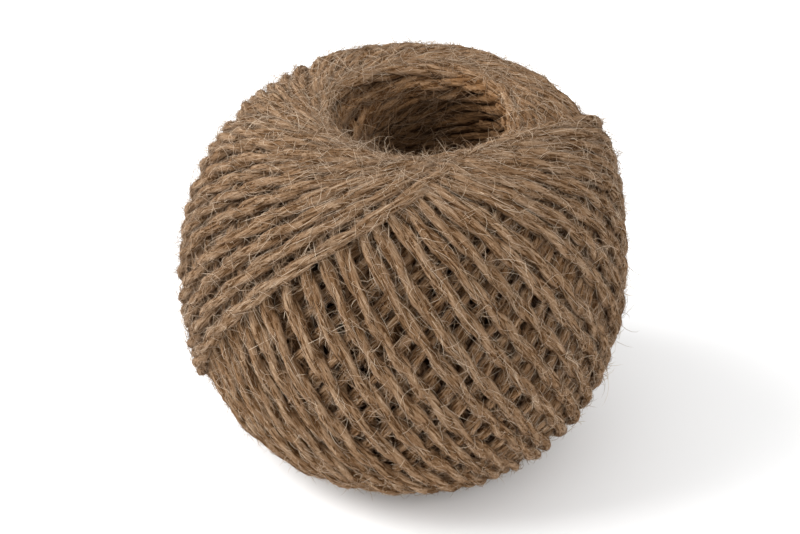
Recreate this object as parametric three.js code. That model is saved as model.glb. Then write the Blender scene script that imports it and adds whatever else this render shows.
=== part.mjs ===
// A ball of jute twine, wound by machine about an upright spindle that left a hole through it.
// It stands on the crest of its lower rim. Millimetres, +Z up, origin at the middle of its foot.
import * as THREE from "three";

// Driving dimensions.
const BALL_WIDTH = 80; // across the middle, where it is widest
const BALL_HEIGHT = 69; // from the crest of the lower rim to the crest of the upper rim
const HOLE_WIDTH = 25; // across the hole at its waist
const MOUTH_FLARE = 3; // how far the hole's mouth opens past its waist, on each side
const MOUTH_DEPTH = 10; // how far down the hole its mouth has narrowed to the waist
const CREST_WIDTH = 4; // the level ring round each mouth, which the ball stands on
const JUTE_BROWN = 0x8b7259;

// How finely the round shapes are stepped.
const SHOULDER_STEPS = 14;
const MOUTH_STEPS = 6;
const ROUND_STEPS = 72;

const waist = HOLE_WIDTH / 2;
const mouthEdge = waist + MOUTH_FLARE;
const crestEdge = mouthEdge + CREST_WIDTH;
const crestHeight = BALL_HEIGHT / 2;

// The shoulder as a quarter ellipse, from the outer edge of the crest to the widest point.
function shoulder() {
  const points = [];
  for (let i = 0; i < SHOULDER_STEPS; i++) {
    const angle = (i / SHOULDER_STEPS) * (Math.PI / 2);
    const radius = crestEdge + (BALL_WIDTH / 2 - crestEdge) * Math.sin(angle);
    points.push(new THREE.Vector2(radius, crestHeight * Math.cos(angle)));
  }
  return points;
}

// The mouth of the hole as a quarter ellipse, from its waist up to the inner edge of the crest.
function mouth() {
  const points = [];
  for (let i = 0; i <= MOUTH_STEPS; i++) {
    const angle = (i / MOUTH_STEPS) * (Math.PI / 2);
    const radius = mouthEdge - (mouthEdge - waist) * Math.cos(angle);
    const height = crestHeight - MOUTH_DEPTH * (1 - Math.sin(angle));
    points.push(new THREE.Vector2(radius, height));
  }
  return points;
}

// The same points below the middle, in the opposite order.
function mirrored(points) {
  return points.map((point) => new THREE.Vector2(point.x, -point.y)).reverse();
}

// Half of the ball's section, once round: up the hole, over the upper rim, down the outside
// and back under the lower rim. It closes on itself, so the turned solid has a hole through it.
function section() {
  const upperMouth = mouth();
  const upperShoulder = shoulder();
  const widest = new THREE.Vector2(BALL_WIDTH / 2, 0);
  const loop = [
    ...mirrored(upperMouth),
    ...upperMouth,
    ...upperShoulder,
    widest,
    ...mirrored(upperShoulder),
  ];
  loop.push(loop[0].clone());
  return loop.reverse();
}

// One length of twine makes the whole ball, so it is one piece.
function twineWinding() {
  const jute = new THREE.MeshStandardMaterial({
    color: JUTE_BROWN,
    roughness: 0.95,
    metalness: 0,
  });
  const winding = new THREE.Mesh(new THREE.LatheGeometry(section(), ROUND_STEPS), jute);
  winding.name = "twine_winding";
  winding.rotation.x = Math.PI / 2;
  winding.position.z = BALL_HEIGHT / 2;
  return winding;
}

const ball = new THREE.Group();
ball.add(twineWinding());

export default ball;
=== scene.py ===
"""A ball of natural jute twine, wound by machine about an upright spindle that left a hole through it.

The ball is one length of two-ply twine, laid as leaning loops that step round the hole, so each loop
crosses the ones below it. The script follows that one length from its inner end to its outer end, then
adds the loose fibres that stand off it, and then the floor and the lights.
"""
import math

import bpy
import numpy as np
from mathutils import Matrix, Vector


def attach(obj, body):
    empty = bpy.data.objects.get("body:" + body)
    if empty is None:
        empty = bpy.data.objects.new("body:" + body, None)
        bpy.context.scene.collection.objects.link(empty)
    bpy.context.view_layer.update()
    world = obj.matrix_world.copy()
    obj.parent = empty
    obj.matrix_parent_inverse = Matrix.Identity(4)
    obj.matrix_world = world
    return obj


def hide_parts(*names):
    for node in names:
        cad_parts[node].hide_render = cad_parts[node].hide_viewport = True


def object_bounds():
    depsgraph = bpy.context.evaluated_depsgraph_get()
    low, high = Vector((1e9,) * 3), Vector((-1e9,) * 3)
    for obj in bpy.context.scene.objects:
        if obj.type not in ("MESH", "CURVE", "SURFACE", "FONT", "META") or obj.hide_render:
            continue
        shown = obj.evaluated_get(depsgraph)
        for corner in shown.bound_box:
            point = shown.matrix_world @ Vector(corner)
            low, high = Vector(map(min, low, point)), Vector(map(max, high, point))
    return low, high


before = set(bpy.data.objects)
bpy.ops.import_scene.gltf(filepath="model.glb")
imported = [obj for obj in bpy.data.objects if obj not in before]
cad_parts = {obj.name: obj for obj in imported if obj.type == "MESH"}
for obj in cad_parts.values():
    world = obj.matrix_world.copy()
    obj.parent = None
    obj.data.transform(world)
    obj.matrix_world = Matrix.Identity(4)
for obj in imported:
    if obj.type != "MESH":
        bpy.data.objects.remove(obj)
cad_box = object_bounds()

# ---------------------------------------------------------------------------------------------------
# The camera. It looks down at the ball from in front through a long lens, so the hole and the front
# both show.
# ---------------------------------------------------------------------------------------------------
MM = 0.001
CAMERA_ABOVE = math.radians(34.5)
CAMERA_AWAY = 620 * MM
SENSOR_WIDTH = 36  # in millimetres, as Blender has it
BALL_SHARE = 0.569  # of the picture's width
AIM_ASIDE = -0.45 * MM  # how far along X from the ball's middle the camera stands and aims

ball_low, ball_high = (np.array(corner, dtype=float) for corner in cad_box)
ball_middle = (ball_low + ball_high) / 2
camera_data = bpy.data.cameras.new("camera")
camera_data.sensor_width = SENSOR_WIDTH
camera_data.lens = BALL_SHARE * SENSOR_WIDTH * CAMERA_AWAY / (ball_high[0] - ball_low[0])
camera = bpy.data.objects.new("camera", camera_data)
bpy.context.scene.collection.objects.link(camera)
towards_camera = np.array([0, -math.cos(CAMERA_ABOVE), math.sin(CAMERA_ABOVE)])
camera.location = ball_middle + [AIM_ASIDE, 0, 0] + CAMERA_AWAY * towards_camera
camera.rotation_euler = (math.pi / 2 - CAMERA_ABOVE, 0, 0)
bpy.context.scene.camera = camera

# ---------------------------------------------------------------------------------------------------
# The winding. One length of twine goes round and round the ball as leaning loops. Every loop passes
# close by the hole at the top and at the bottom, and each is turned a little further round the hole
# than the last, so the upward and downward legs cross, and one leg lies on the other.
# ---------------------------------------------------------------------------------------------------
TWINE_WIDTH = 2.85 * MM
TURNS = 157  # loops in the whole ball
OUTER_TURNS = 75  # the loops that show. The rest are the core, which is wound closer round the spindle
CORE_BLEND = 8  # turns in which the core's winding becomes the outer one
TURNS_PER_LAP = 45.5  # outer loops laid in one lap round the hole. The half sets each lap in the last's gaps
CORE_TURNS_PER_LAP = 21
LAP_DEPTH = 3.7 * MM  # how much one lap of loops adds to the ball's radius
NEWEST_LEAN = math.radians(-47)  # where the last loop passes the hole, seen from above
LEAN_WANDERS = math.radians(1.4), math.radians(1.2)  # from loop to loop, and over several
HOLE_RADIUS = 12.4 * MM + TWINE_WIDTH / 2  # of the middle of the twine in the hole's wall
CREST_RADIUS = 18 * MM  # of the highest line of the rim round the hole
CREST_FILLS = 3, 0.8  # how fast the crest closes in on the hole with depth, and the most it does
RIM_PULL = 4.4 * MM  # how far the pull of the twine draws a loop in towards the hole
PULL_FADES = 2.4  # how fast the pull is lost with depth
PULL_ON_CREST = 0.95  # the share of the pull by which the crest is set out, so that it ends in its place
PULL_REACH = 35 * MM  # how far from the hole's middle the pull is felt
PASS_WIDER = 3.2 * MM  # how much further from the hole than its wall the outer loops pass it
PASS_WIDER_FADES = 90  # turns back from the outer end in which that falls to about a third
LAST_PASS_WIDER = 4.0 * MM  # the same for the last few loops
LAST_PASS_FADES = 5
PASS_WANDERS = 0.5 * MM, 0.3 * MM  # over several loops, and from loop to loop
CORE_PASS_CLOSER = 0.7 * MM  # how much closer to the axis the core's loops pass it
LAST_OFFSET = 0.065  # how far the last loops' planes miss the ball's middle, as a share of its radius
LAST_OFFSET_FADES = 12
LAST_SINKS = 0.4 * MM  # how far the last loop presses into those below it
LAST_SINKS_FADES = 1.5
SURFACE_WANDERS = 0.18 * MM  # how unevenly the twine lies on the ball
WALL_WANDERS = 0.4 * MM  # and in the hole's wall
CORE_SLOPE = -0.45  # how steeply a core loop climbs past the hole, on average
CORE_SLOPE_WANDERS = 0.3
CORE_SLOPE_REACH = 9 * MM  # how far past the hole the slope is felt
MOUTH_SHIFT = np.array([1.8, -1.2]) * MM  # how far the hole's upper mouth is off centre
THROAT_SHIFT = np.array([38, 14]) * MM  # how strongly the hole leans off centre below its mouth

outermost = np.array([(ball_high[0] - ball_low[0]) / 2, (ball_high[2] - ball_low[2]) / 2]) - TWINE_WIDTH / 2
innermost = np.array([17.6 * MM, 3 * MM])  # half width and half height of the first loops


def wandering(places, seed, spread):
    """Random values between -spread and spread at whole-number places, joined by smooth steps."""
    knots = np.random.default_rng(seed).uniform(-spread, spread, int(places.max()) + 3)
    before = np.floor(places).astype(int)
    step = places - before
    step = step * step * (3 - 2 * step)
    return knots[before] * (1 - step) + knots[before + 1] * step


def layer_size(age):
    """The half width and half height of the surface that the twine lies on, with age turns laid after
    it. Over the outer turns both shrink in proportion, by LAP_DEPTH a lap. Below them their squares
    shrink evenly down to the first loops round the spindle, as a filled ball's do."""
    outer = np.minimum(age, OUTER_TURNS) / TURNS_PER_LAP * LAP_DEPTH / outermost[0]
    inner = np.clip((age - OUTER_TURNS) / (TURNS - OUTER_TURNS), 0, 1)[:, None]
    size = outermost * (1 - outer)[:, None]
    return np.sqrt(size**2 * (1 - inner) + innermost**2 * inner)


def loop_direction(age, passing, half_height):
    """The unit direction of the twine from the ball's middle, and the level direction in which its
    loop passes the hole. A loop is a great circle through top, a direction that is tilted from the
    axis by the angle whose tangent is passing over half_height, and lean gives its bearing."""
    core_age = np.maximum(age - OUTER_TURNS, 0)
    laps = (age - core_age) / TURNS_PER_LAP + core_age / CORE_TURNS_PER_LAP
    lean = NEWEST_LEAN - 2 * math.pi * laps
    lean = lean + wandering(2 * age + 0.5, 12, LEAN_WANDERS[0]) + wandering(age / 3, 13, LEAN_WANDERS[1])
    tilt = np.arctan2(passing, half_height)
    top = np.stack([np.sin(tilt) * np.cos(lean), np.sin(tilt) * np.sin(lean), np.cos(tilt)], axis=1)
    side = np.stack([-np.sin(lean), np.cos(lean), 0 * lean], axis=1)
    turned = 2 * math.pi * (0.5 - age)
    way = np.cos(turned)[:, None] * top + np.sin(turned)[:, None] * side
    way += LAST_OFFSET * np.exp(-age / LAST_OFFSET_FADES)[:, None] * np.cross(top, side)
    return way / np.linalg.norm(way, axis=1)[:, None], side


def surface_distance(way, half_width, half_height, crest):
    """How far the surface is from the ball's middle in a direction. The surface is a level ring out to
    the radius crest, with a quarter ellipse from there to the widest point. A point at distance t has
    ((out t - crest) / (half_width - crest))^2 + (up t / half_height)^2 = 1, which is a quadratic."""
    out, up = np.hypot(way[:, 0], way[:, 1]), np.abs(way[:, 2])
    shoulder = half_width - crest
    a = (out / shoulder) ** 2 + (up / half_height) ** 2
    b = out * crest / shoulder**2
    c = (crest / shoulder) ** 2 - 1
    reach = (b + np.sqrt(np.maximum(b * b - a * c, 0))) / a
    level = half_height * out < crest * up
    return np.where(level, half_height / np.maximum(up, 1e-6), reach)


def laid(age):
    """The middle of the twine, as points, where age turns are laid after it. A loop's direction and the
    surface that it lies on give a point. The pull of the twine then draws the points near the rim in
    towards the hole, as far as its wall, the core's loops slope past the hole, and the hole's upper
    half is moved off centre."""
    half_width, half_height = layer_size(age).T
    deep = 1 - half_width / outermost[0]
    in_core = np.clip((age - OUTER_TURNS + CORE_BLEND) / CORE_BLEND, 0, 1)
    pull = RIM_PULL * np.clip(1 - PULL_FADES * deep, 0, 1)
    crest = CREST_RADIUS - (CREST_RADIUS - HOLE_RADIUS) * np.clip(CREST_FILLS[0] * deep, 0, CREST_FILLS[1])
    crest = crest + PULL_ON_CREST * pull

    passing = HOLE_RADIUS + pull - CORE_PASS_CLOSER * in_core
    passing = passing + PASS_WIDER * np.exp(-age / PASS_WIDER_FADES) * (1 - in_core)
    passing = passing + LAST_PASS_WIDER * np.exp(-age / LAST_PASS_FADES)
    passing = passing + wandering(age / 4, 11, PASS_WANDERS[0]) + wandering(2 * age, 15, PASS_WANDERS[1])
    way, side = loop_direction(age, passing, half_height)
    reach = surface_distance(way, half_width, half_height, crest)
    reach = reach + wandering(age * 9, 14, SURFACE_WANDERS) - LAST_SINKS * np.exp(-age / LAST_SINKS_FADES)
    points = way * reach[:, None]

    radius = np.hypot(points[:, 0], points[:, 1])
    pulled_most = HOLE_RADIUS + RIM_PULL
    far = np.clip((radius - pulled_most) / (PULL_REACH - pulled_most), 0, 1)
    drawn_in = radius - pull * (1 - far * far * (3 - 2 * far))
    wall = HOLE_RADIUS + wandering(2 * age, 16, WALL_WANDERS)
    points[:, :2] *= (np.maximum(drawn_in, wall) / radius)[:, None]

    past = np.sum(points * side, axis=1)
    slope = in_core * (CORE_SLOPE + wandering(age / 1.7, 17, CORE_SLOPE_WANDERS))
    points[:, 2] += slope * past * np.exp(-(past / CORE_SLOPE_REACH) ** 2)
    high = np.clip(points[:, 2] / outermost[1], 0, 1)
    near = 1 - np.clip(np.sum(points[:, :2] ** 2, axis=1) / outermost[0] ** 2, 0, 1)
    points[:, :2] += (near * high**2)[:, None] * (MOUTH_SHIFT + (1 - high)[:, None] * THROAT_SHIFT)
    return points + [0, 0, ball_middle[2]]


def evenly(points, spacing):
    """The same line with points a fixed distance apart, and how far along it each one is."""
    steps = np.linalg.norm(np.diff(points, axis=0), axis=1)
    travelled = np.concatenate([[0], np.cumsum(steps)])
    wanted = np.linspace(0, travelled[-1], int(round(travelled[-1] / spacing)) + 1)
    line = np.stack([np.interp(wanted, travelled, points[:, axis]) for axis in range(3)], axis=1)
    return line, wanted


# ---------------------------------------------------------------------------------------------------
# The twine. Two soft plies of jute are twisted together, so a cut across it is two round shapes side
# by side with a groove between them, and the pair turns over slowly along the twine. The one length is
# made as five stretches, from the inner end to the outer end.
# ---------------------------------------------------------------------------------------------------
LAY = 19 * MM  # the length of twine in which a ply goes once round
LAY_WANDERS = 1.2  # radians by which a ply runs ahead or falls behind
LAY_STEP = 22 * MM  # between one of those random values and the next
PLY_RADIUS = 0.62  # as a share of half the twine's width
PLY_OFFSET = 0.38  # of a ply's middle from the twine's, as the same share
WIDTH_WANDERS = 0.08  # of the whole twine, as a share of its width
WIDTH_STEP = 14 * MM
PLY_WANDERS = 0.09  # of each ply
PLY_STEP = 3.1 * MM
ROUGHNESS = 0.03  # of single points, as the same share
COLUMNS = 12  # points round the twine where it shows
COLUMNS_IN_CORE = 8
SPACING = 0.9 * MM  # between the rings of points along the twine where it shows
SPACING_IN_CORE = 1.7 * MM
POINTS_A_TURN = 900
LAPS_SEEN = 1.6  # how many laps down the ball can be seen into, between the newest loops, over which the painted warm tint for light bounced in the gaps comes in
# The shade down in the hole is painted into the twine's colour, as these set it.
SHADE_TOP = 2 * MM  # how far below the rim the hole begins to darken
SHADE_DEPTH = 8 * MM  # and over what depth it goes on doing so
SHADE_RADIUS = 18 * MM  # the distance from the axis at which the shade ends
SHADE_EDGE = 2 * MM  # and the width over which it fades out there
SHADE_MIDDLE = 0.65  # its strength at the axis
SHADE_TO_RIGHT = 50  # how much stronger it is for each metre to the right
SHADE_TO_BACK = 35  # and to the back
SHADE_LIMITS = 0.1, 1.25  # its least and greatest strength
FLAT_MAP = "OFBake"  # the UV map through which a finish is baked
MAP_ROWS = 10  # the lengths that a stretch of twine is cut into on its map
MAP_HEIGHT = 0.985  # the share of the map that they fill. The two ends lie above them
MAP_GAP = 0.03  # left at each side of a row, as a share of it
ENDS_ON_MAP = 0.989, 0.998  # the height on the map of the foot and the point of an end's triangles
STRETCHES = [("twine_core_1", TURNS, 108.5), ("twine_core_2", 108.5, 60.5), ("twine_layer_1", 60.5, 40.5),
             ("twine_layer_2", 40.5, 20.5), ("twine_layer_3", 20.5, 0)]  # with the turns laid after each end


def frames_along(line):
    """Unit vectors along a line, and two across it. The first of those points away from the ball's
    middle as far as it can."""
    along = np.gradient(line, axis=0)
    along /= np.linalg.norm(along, axis=1)[:, None]
    away = line - ball_middle
    away -= np.sum(away * along, axis=1)[:, None] * along
    away /= np.linalg.norm(away, axis=1)[:, None]
    return along, away, np.cross(along, away)


def pair_radius(angle):
    """How far the outline of the two plies is from the twine's middle, as a share of half its width. A
    circle of radius r whose middle is d away is at d cos(angle) + sqrt(r^2 - d^2 sin(angle)^2)."""
    return PLY_OFFSET * np.abs(np.cos(angle)) + np.sqrt(PLY_RADIUS**2 - (PLY_OFFSET * np.sin(angle)) ** 2)


def ply_shape(angle, travelled, seed):
    """The outline of the two plies with slow random changes in the size of each along the twine, and
    how high on its ply each point is from 0 to 1."""
    shape = pair_radius(angle)
    groove, ridge = pair_radius(math.pi / 2), pair_radius(0)
    height = (shape - groove) / (ridge - groove)
    shape = shape * (1 + wandering(travelled / WIDTH_STEP, seed + 1, WIDTH_WANDERS)[:, None])
    for ply in (0, 1):
        near = np.clip(np.cos(angle - math.pi * ply), 0, 1)
        shape = shape + near * wandering(travelled / PLY_STEP, seed + 2 + ply, PLY_WANDERS)[:, None]
    return shape + np.random.default_rng(seed).uniform(-ROUGHNESS, ROUGHNESS, shape.shape), height


def keep(mesh, name, values):
    """Keeps a number or a vector at every point of a mesh, for its material to read."""
    kind, field = ("FLOAT", "value") if values.ndim == 1 else ("FLOAT_VECTOR", "vector")
    mesh.attributes.new(name, kind, "POINT").data.foreach_set(field, values.astype(np.float32).ravel())


def placed(name, points, faces, flat=None):
    """A new object at the origin, with a smooth mesh of these points and faces. flat has the place on
    the piece's own map of each corner of each face."""
    mesh = bpy.data.meshes.new(name)
    mesh.from_pydata(points.tolist(), [], faces)
    if flat is not None:
        mesh.uv_layers.new(name=FLAT_MAP).data.foreach_set("uv", flat.astype(np.float32).ravel())
    mesh.shade_smooth()
    piece = bpy.data.objects.new(name, mesh)
    bpy.context.scene.collection.objects.link(piece)
    return piece


def opened_twine(rings, columns):
    """The tube opened flat and cut into equal lengths, which lie one above another on its map, with the
    triangles of its two ends in a thin row at the top."""
    in_row = math.ceil(rings / MAP_ROWS)
    ring, place = np.arange(rings)[:, None, None], np.arange(columns)[None, :, None]
    along = (ring % in_row + [0, 0, 1, 1]) / in_row + 0 * place
    round_it = ring // in_row + MAP_GAP + (1 - 2 * MAP_GAP) * (place + [0, 1, 1, 0]) / columns
    sides = np.stack([along, round_it * MAP_HEIGHT / MAP_ROWS], axis=-1).reshape(-1, 2)
    low, top = ENDS_ON_MAP
    across = np.concatenate([place[0] + [0.5, 1, 0], place[0] + columns + [0.5, 0, 1]]) / (2 * columns)
    ends = np.stack([across, 0 * across + [top, low, low]], axis=-1).reshape(-1, 2)
    return np.concatenate([sides, ends])


def hole_shade_at(points):
    """How much painted shade each point gets down in the hole, from 0 to about 1. It rises with the
    distance below the rim, and more on the back and the right, where the wall leans in under the rim."""
    from_axis = np.hypot(points[:, 0] - MOUTH_SHIFT[0], points[:, 1])
    below_rim = outermost[1] - np.abs(points[:, 2] - ball_middle[2])
    shade = np.clip((SHADE_RADIUS - from_axis) / SHADE_EDGE, 0, 1)
    shade *= np.clip((below_rim - SHADE_TOP) / SHADE_DEPTH, 0, 1)
    strength = SHADE_MIDDLE + SHADE_TO_RIGHT * points[:, 0] + SHADE_TO_BACK * points[:, 1]
    return shade * np.clip(strength, *SHADE_LIMITS)


def twine_stretch(name, frames, travelled, ages, columns, seed):
    """A closed tube round a line. Its columns of points follow the plies round the twine. It keeps
    where each point is round and along the twine, and its height on the ply, for the material, with
    the painted shade down in the hole and how far below the newest loops each point lies, which sets
    a painted warm tint for the light bounced between the loops."""
    line, _, away, across, twist = frames
    column = np.linspace(0, 2 * math.pi, columns, endpoint=False)[None, :]
    share, height = ply_shape(column + 0 * twist[:, None], travelled, seed)
    round_it = column + twist[:, None]
    radius = share * TWINE_WIDTH / 2
    rings = line[:, None] + radius[..., None] * (
        np.cos(round_it)[..., None] * away[:, None] + np.sin(round_it)[..., None] * across[:, None])
    points = np.concatenate([rings.reshape(-1, 3), line[:1], line[-1:]])

    ring, place = np.meshgrid(np.arange(len(line) - 1) * columns, np.arange(columns), indexing="ij")
    beside = (place + 1) % columns
    quads = np.stack([ring + place, ring + beside, ring + columns + beside, ring + columns + place], axis=-1)
    first, last = len(line) * columns, (len(line) - 1) * columns
    place, beside = place[0], beside[0]
    start_cap = np.stack([0 * place + first, beside, place], axis=1)
    end_cap = np.stack([0 * place + first + 1, last + place, last + beside], axis=1)
    faces = quads.reshape(-1, 4).tolist() + start_cap.tolist() + end_cap.tolist()
    piece = placed(name, points, faces, opened_twine(len(line) - 1, columns))

    run = [np.cos(round_it) * radius, np.sin(round_it) * radius, 0 * round_it + travelled[:, None]]
    ends = [[0, 0, travelled[0]], [0, 0, travelled[-1]]]
    # How far below the newest loops each point lies, which sets a painted warm tint for the light bounced in
    # the gaps.
    under = np.interp(travelled, travelled[[0, -1]], ages) / TURNS_PER_LAP / LAPS_SEEN
    under = np.clip(np.concatenate([np.repeat(under, columns), under[[0, -1]]]), 0, 1)
    keep(piece.data, "fibre_run", np.concatenate([np.stack(run, axis=-1).reshape(-1, 3), ends]))
    keep(piece.data, "ply_height", np.concatenate([height.ravel(), [0.5, 0.5]]))
    # The painted shade down in the hole.
    keep(piece.data, "hole_depth", hole_shade_at(points))
    keep(piece.data, "laid_under", under)
    return piece


class Socket:
    """A shader socket that can be added, subtracted and multiplied as a number."""

    def __init__(self, material, socket):
        self.material, self.socket = material, socket

    def maths(self, operation, first, second):
        return self.material.node("ShaderNodeMath", {"operation": operation}, {0: first, 1: second})

    def __add__(self, other):
        return self.maths("ADD", self, other)

    def __sub__(self, other):
        return self.maths("SUBTRACT", self, other)

    def __mul__(self, other):
        return self.maths("MULTIPLY", self, other)

    def __radd__(self, other):
        return self.maths("ADD", other, self)

    def __rsub__(self, other):
        return self.maths("SUBTRACT", other, self)

    def __rmul__(self, other):
        return self.maths("MULTIPLY", other, self)


class Finish:
    """A node material under construction. node() adds a node of a type, with its settings first and
    then its sockets, and gives the wrapped first output, or the one that is named."""

    def __init__(self, name):
        self.made = bpy.data.materials.new(name)
        self.made.use_nodes = True
        self.tree = self.made.node_tree
        self.shader = self.tree.nodes["Principled BSDF"]

    def node(self, kind, settings, sockets, output=0):
        node = self.tree.nodes.new(kind)
        for key, value in settings.items():
            if key == "stops":
                while len(node.color_ramp.elements) < len(value):
                    node.color_ramp.elements.new(0.5)
                for element, (place, colour) in zip(node.color_ramp.elements, value):
                    element.position, element.color = place, (*colour, 1)
            else:
                setattr(node, key, value)
        for key, value in sockets.items():
            self.feed(node.inputs[key], value)
        return Socket(self, node.outputs[output])

    def feed(self, target, value):
        if isinstance(value, Socket):
            self.tree.links.new(value.socket, target)
        else:
            target.default_value = value

    def kept(self, name, output="Fac"):
        return self.node("ShaderNodeAttribute", {"attribute_name": name}, {}, output)

    def set(self, **sockets):
        for key, value in sockets.items():
            self.feed(self.shader.inputs[key.replace("_", " ")], value)


def jute_finish():
    """Matte jute. Long thin streaks run with the fibres along the twine, and darker and lighter
    stretches follow its length. Painted shade darkens the slits between its bundles of fibre, the groove
    between the plies and the twine down in the hole. A painted warm tint on the loops that lie below
    the newest ones stands for the light bounced between the loops in the gaps."""
    jute = Finish("jute")
    run = jute.kept("fibre_run", "Vector")
    height, hole_shade, under = (jute.kept(name) for name in ("ply_height", "hole_depth", "laid_under"))

    def streaks(across, along, detail):
        scale = (1 / across, 1 / across, 1 / along)
        stretched = jute.node("ShaderNodeMapping", {}, {"Vector": run, "Scale": scale})
        noise = {"Vector": stretched, "Scale": 1.0, "Detail": detail, "Roughness": 0.65}
        return jute.node("ShaderNodeTexNoise", {}, noise)

    fine = streaks(0.16 * MM, 2.2 * MM, 3.0)
    bundles = streaks(0.45 * MM, 6 * MM, 2.0)
    patches = streaks(9 * MM, 30 * MM, 2.0)
    slits = jute.node("ShaderNodeMapRange", {}, {"Value": bundles, "From Min": 0.38, "From Max": 0.47})
    tone = (0.5 * fine + 0.5 * bundles - 0.5) * 2.4 + 0.5 + (patches - 0.5) * 0.4
    # Painted shade: darker in the groove between the plies, in the slits between the bundles and down in the
    # hole.
    tone = tone * (0.66 + 0.34 * height) * (0.47 + 0.53 * slits) * (1 - 0.42 * hole_shade)
    colour = jute.node("ShaderNodeValToRGB", {"stops": [
        (0.0, (0.030, 0.012, 0.004)), (0.28, (0.115, 0.060, 0.026)), (0.55, (0.224, 0.141, 0.083)),
        (0.80, (0.325, 0.236, 0.160)), (1.0, (0.47, 0.380, 0.285))]}, {"Fac": tone}, "Color")
    # A painted warm tint on the loops below the newest ones, for the light bounced between the loops in the
    # gaps, left off down in the hole.
    factor, first, second, result = 0, 6, 7, 2
    colour = jute.node("ShaderNodeMix", {"data_type": "RGBA", "blend_type": "MULTIPLY"},
                       {factor: under * (1 - hole_shade), first: colour, second: (1.08, 0.96, 0.80, 1)}, result)
    relief = fine * 0.4 + bundles * 0.5 + slits * 0.35
    bump = jute.node("ShaderNodeBump", {}, {"Height": relief, "Strength": 0.9, "Distance": 0.4 * MM})
    jute.set(Base_Color=colour, Roughness=0.92, Normal=bump, Specular_IOR_Level=0.06)
    return jute.made


jute = jute_finish()
twine_frames = {}
for number, (name, older, newer) in enumerate(STRETCHES):
    in_core = name.startswith("twine_core")
    age = np.linspace(older, newer, int((older - newer) * POINTS_A_TURN))
    line, travelled = evenly(laid(age), SPACING_IN_CORE if in_core else SPACING)
    seed = 100 + 10 * number
    twist = 2 * math.pi * travelled / LAY + wandering(travelled / LAY_STEP, seed, LAY_WANDERS)
    twine_frames[name] = (line, *frames_along(line), twist)
    columns = COLUMNS_IN_CORE if in_core else COLUMNS
    piece = twine_stretch(name, twine_frames[name], travelled, (older, newer), columns, seed)
    piece.data.materials.append(jute)
    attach(piece, "root")
    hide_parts("twine_winding")

# ---------------------------------------------------------------------------------------------------
# The loose fibres. Jute is a coarse fibre, and its ends work out of the plies all over the ball and
# down the hole. Each is a thin tapering hair with three sides, rooted in the twine and bent by a
# random amount. They are short low on the ball, where they have been rubbed off.
# ---------------------------------------------------------------------------------------------------
HAIR_SIDES = 3
HAIR_WIDTHS = 0.7, 1.3  # the thinnest and the thickest, as a share of their batch's width
HAIR_TAPER = 0.5  # the share of its width that a hair loses along its length, up to its point
ROOTS_SPREAD = 0.9  # radians round the twine from its open side
ROOTS_TO_END = 0.7  # a power below 1, which roots more of them near the twine's outer end
HAIR_STRAYS = 0.7  # how far the way a hair bends strays from straight back at the ball
RUBBED_LENGTH = 0.45  # of a hair at the foot of the ball, as a share of one at the top
RUBBED_FROM = 8 * MM  # the height up to which they are that short
RUBBED_OVER = 25 * MM  # and the height over which they come to their full length
HAIRS_IN_BATCH = 12000
WALL_REACH = 17.5 * MM  # the twine that is nearer the axis than this is in the hole's wall
WALL_DOWN = 12 * MM  # how far below the ball's middle the wall can be seen
ROOT_ROOM = np.array([1.15, 0.2])  # what a hair's square on the map has before it and below it,
HAIR_GAPS = 0.15, 0.2  # and after it and above it, with one ring or one side as 1


def opened_hairs(count, rings):
    """Each hair opened flat in a small square of its own: its three sides as strips, side by side, from
    the root to the point, and the root's triangle before them."""
    ring, side = np.arange(rings - 1)[:, None, None], np.arange(HAIR_SIDES)[None, :, None]
    quads = np.stack([ring + [0, 0, 1, 1] + 0 * side, 0 * ring + side + [0, 1, 1, 0]], axis=-1)
    tips = np.stack([0 * side[0] + rings - 1 + [0, 0, 1], side[0] + [0, 1, 0.5]], axis=-1)
    root = np.array([[-0.2, 0.5], [-0.2, 2.5], [-0.9, 1.5]])
    in_row = math.ceil(math.sqrt(count))
    squares = np.stack([np.arange(count) % in_row, np.arange(count) // in_row], axis=1)[:, None]
    size = ROOT_ROOM + [rings + HAIR_GAPS[0], HAIR_SIDES + HAIR_GAPS[1]]
    parts = [(squares + (part.reshape(1, -1, 2) + ROOT_ROOM) / size) / in_row
             for part in (quads, tips, root)]
    return np.concatenate([part.reshape(-1, 2) for part in parts])


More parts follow.
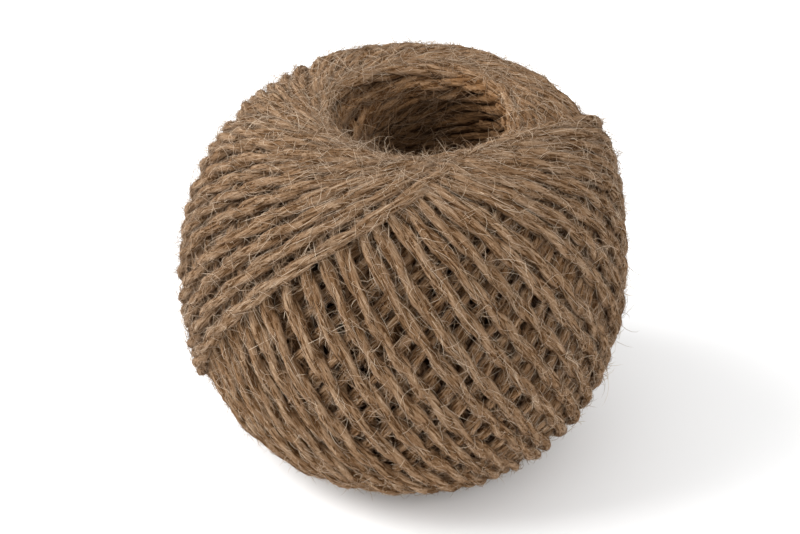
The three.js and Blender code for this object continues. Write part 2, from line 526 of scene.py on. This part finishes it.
def hairs(name, frames, count, lengths, width, lift, swing, turns, rings, seed, tones=(0, 1)):
    """Hairs rooted on the open side of the twine. A hair leaves along the twine, tipped outwards by
    lift degrees and swung sideways by about swing. Its middle line is an arc that turns through turns
    degrees, mostly back towards the ball: the root, plus way times sin(turn) / turn, plus aside times
    (1 - cos(turn)) / turn, all times its length. It ends in a point, and lies on the table where it
    would go through it."""
    rng = np.random.default_rng(seed)
    line, along, away, across, twist = frames
    at = (len(line) * rng.uniform(0, 1, count) ** ROOTS_TO_END).astype(int)
    angle = rng.normal(0, ROOTS_SPREAD, count)
    out = np.cos(angle)[:, None] * away[at] + np.sin(angle)[:, None] * across[at]
    forward = along[at] * rng.choice([-1, 1], count)[:, None]
    sideways = np.cross(forward, out)
    tip = np.radians(rng.uniform(*lift, count))[:, None]
    yaw = np.radians(rng.normal(0, swing, count))[:, None]
    way = np.cos(tip) * (np.cos(yaw) * forward + np.sin(yaw) * sideways) + np.sin(tip) * out
    aside = rng.normal(0, HAIR_STRAYS, (count, 3)) - out
    aside -= np.sum(aside * way, axis=1)[:, None] * way
    aside /= np.linalg.norm(aside, axis=1)[:, None]
    rubbed = RUBBED_LENGTH + (1 - RUBBED_LENGTH) * np.clip((line[at][:, 2] - RUBBED_FROM) / RUBBED_OVER, 0, 1)
    shortest, longest = np.array(lengths) * MM
    length = (rubbed * (rng.uniform(0, 1, count) ** 2 * (longest - shortest) + shortest))[:, None, None]
    turn = np.radians(rng.uniform(*turns, count))[:, None, None]
    step = np.linspace(0, 1, rings + 1)[None, :, None]
    surface = pair_radius(angle - twist[at]) * TWINE_WIDTH / 2
    root = line[at] + out * (surface - 0.5 * width * MM)[:, None]
    ahead, over = np.sin(turn * step) / turn, (1 - np.cos(turn * step)) / turn
    middle = root[:, None] + length * (way[:, None] * ahead + aside[:, None] * over)
    middle[..., 2] = np.maximum(middle[..., 2], width * MM)

    thick = (width * MM / 2 * rng.uniform(*HAIR_WIDTHS, count))[:, None, None]
    thick = thick * (1 - HAIR_TAPER * step[:, :-1])
    bent = (turn * step)[:, :-1]
    inward = np.cos(bent) * aside[:, None] - np.sin(bent) * way[:, None]
    level = np.cross(way, aside)[:, None]
    corners = [middle[:, :-1] + thick * (math.cos(corner) * inward + math.sin(corner) * level)
               for corner in np.linspace(0, 2 * math.pi, HAIR_SIDES, endpoint=False)]
    points = np.concatenate([np.stack(corners, axis=2).reshape(count, -1, 3), middle[:, -1:]], axis=1)

    base = np.arange(count)[:, None, None] * (rings * HAIR_SIDES + 1)
    side = np.arange(HAIR_SIDES)[None, None, :]
    beside = (side + 1) % HAIR_SIDES
    ring = base + np.arange(rings - 1)[None, :, None] * HAIR_SIDES
    after = ring + HAIR_SIDES
    quads = np.stack([ring + side, ring + beside, after + beside, after + side], axis=-1)
    last = base + (rings - 1) * HAIR_SIDES
    tips = np.stack([last + side, last + beside, base + rings * HAIR_SIDES + 0 * side], axis=-1)
    roots = np.stack([base + 2, base + 1, base], axis=-1)
    faces = quads.reshape(-1, 4).tolist() + tips.reshape(-1, 3).tolist() + roots.reshape(-1, 3).tolist()
    piece = placed(name, points.reshape(-1, 3), faces, opened_hairs(count, rings))
    keep(piece.data, "hair_tone", np.repeat(rng.uniform(*tones, count), rings * HAIR_SIDES + 1))
    piece.data.materials.append(jute_hair)
    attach(piece, "root")


def hair_finish():
    """Single jute fibres, from brown to straw, each of one colour along its length."""
    hair = Finish("jute_hair")
    colour = hair.node("ShaderNodeValToRGB", {"stops": [
        (0.0, (0.16, 0.092, 0.050)), (0.55, (0.315, 0.218, 0.138)), (1.0, (0.57, 0.455, 0.34))]},
        {"Fac": hair.kept("hair_tone")}, "Color")
    hair.set(Base_Color=colour, Roughness=0.7, Specular_IOR_Level=0.15)
    return hair.made


def wall_side(frames):
    """The part of a stretch of twine that lies in the hole's wall, with the vector across it that
    pointed away from the ball's middle turned to point at the hole's axis."""
    line, along, away, across, twist = frames
    inwards = -line * [1, 1, 0]
    inwards -= np.sum(inwards * along, axis=1)[:, None] * along
    inwards /= np.linalg.norm(inwards, axis=1)[:, None]
    turned = np.arctan2(np.sum(inwards * across, axis=1), np.sum(inwards * away, axis=1))
    in_wall = (np.hypot(line[:, 0], line[:, 1]) < WALL_REACH) & (line[:, 2] > ball_middle[2] - WALL_DOWN)
    return [part[in_wall] for part in (line, along, inwards, np.cross(along, inwards), twist - turned)]


def joined(stretches):
    """The frames of several stretches of twine, end to end."""
    return [np.concatenate(parts) for parts in zip(*stretches)]


jute_hair = hair_finish()
outer = joined([twine_frames[name] for name in ("twine_layer_1", "twine_layer_2", "twine_layer_3")])
wall = joined([wall_side(twine_frames[name]) for name in ("twine_core_1", "twine_core_2", "twine_layer_1")])
# Each batch has its shortest and longest hairs and their width in millimetres, then its lift, swing
# and turns in degrees. The rings of points along a hair and the batch's seed come after those, and
# down in the hole the tones are the darker ones, as painted shade.
batches = [("lying_fibres_1", (2.5, 8), 0.075, (-1, 9), 14, (1, 30)),
           ("lying_fibres_2", (2.5, 8), 0.075, (-1, 9), 14, (1, 30)),
           ("short_fibres_1", (1, 5), 0.075, (5, 55), 45, (20, 150)),
           ("short_fibres_2", (1, 5), 0.075, (5, 55), 45, (20, 150)),
           ("short_fibres_3", (1, 6), 0.08, (5, 40), 60, (30, 180)),
           ("short_fibres_4", (1, 6), 0.08, (5, 40), 60, (30, 180))]
for number, (name, lengths, width, lift, swing, turns) in enumerate(batches):
    hairs(name, outer, HAIRS_IN_BATCH, lengths, width, lift, swing, turns, 3, 300 + number)
# The fibres down in the hole get only the darker tones, as painted shade.
hairs("hole_fibres", wall, 8000, (2, 7), 0.08, (0, 30), 40, (10, 120), 3, 350, (0, 0.4))
hairs("tangled_fibres", outer, 3600, (3, 11), 0.085, (3, 22), 60, (40, 200), 6, 400)
hairs("curled_fibres", outer, 120, (8, 18), 0.09, (5, 35), 60, (180, 420), 9, 500)

# ---------------------------------------------------------------------------------------------------
# The floor and the lights. The ball stands on a plain white table in a white room, with one soft lamp
# high on its left and a weaker one in front of it on its right.
# ---------------------------------------------------------------------------------------------------
FLOOR_HALF = 3.0  # of the table's width, in metres
ROOM_LIGHT = 0.93
corners = np.array([(-FLOOR_HALF, -FLOOR_HALF, 0), (FLOOR_HALF, -FLOOR_HALF, 0),
                    (FLOOR_HALF, FLOOR_HALF, 0), (-FLOOR_HALF, FLOOR_HALF, 0)])
floor = placed("floor", corners, [(0, 1, 2, 3)])
paper = Finish("white_paper")
paper.set(Base_Color=(0.9, 0.9, 0.9, 1), Roughness=0.9)
floor.data.materials.append(paper.made)


def soft_light(name, place, size, watts):
    """A square lamp aimed at the ball's middle."""
    data = bpy.data.lights.new(name, "AREA")
    data.size, data.energy = size, watts
    lamp = bpy.data.objects.new(name, data)
    lamp.location = place
    aim = ball_middle - np.array(place)
    down, bearing = math.atan2(np.hypot(aim[0], aim[1]), -aim[2]), math.atan2(aim[1], aim[0])
    lamp.rotation_euler = (down, 0, bearing - math.pi / 2)
    bpy.context.scene.collection.objects.link(lamp)


# Each lamp has its place and its width in metres, and then its watts.
soft_light("key_light", (-0.64, -0.04, 0.60), 0.6, 10.6)
soft_light("front_fill", (0.45, -0.80, 0.5), 0.8, 5.3)
world = bpy.data.worlds.new("room")
world.use_nodes = True
background = world.node_tree.nodes["Background"]
background.inputs["Color"].default_value = (1, 1, 1, 1)
background.inputs["Strength"].default_value = ROOM_LIGHT
bpy.context.scene.world = world
bpy.context.scene.view_settings.view_transform = "Standard"
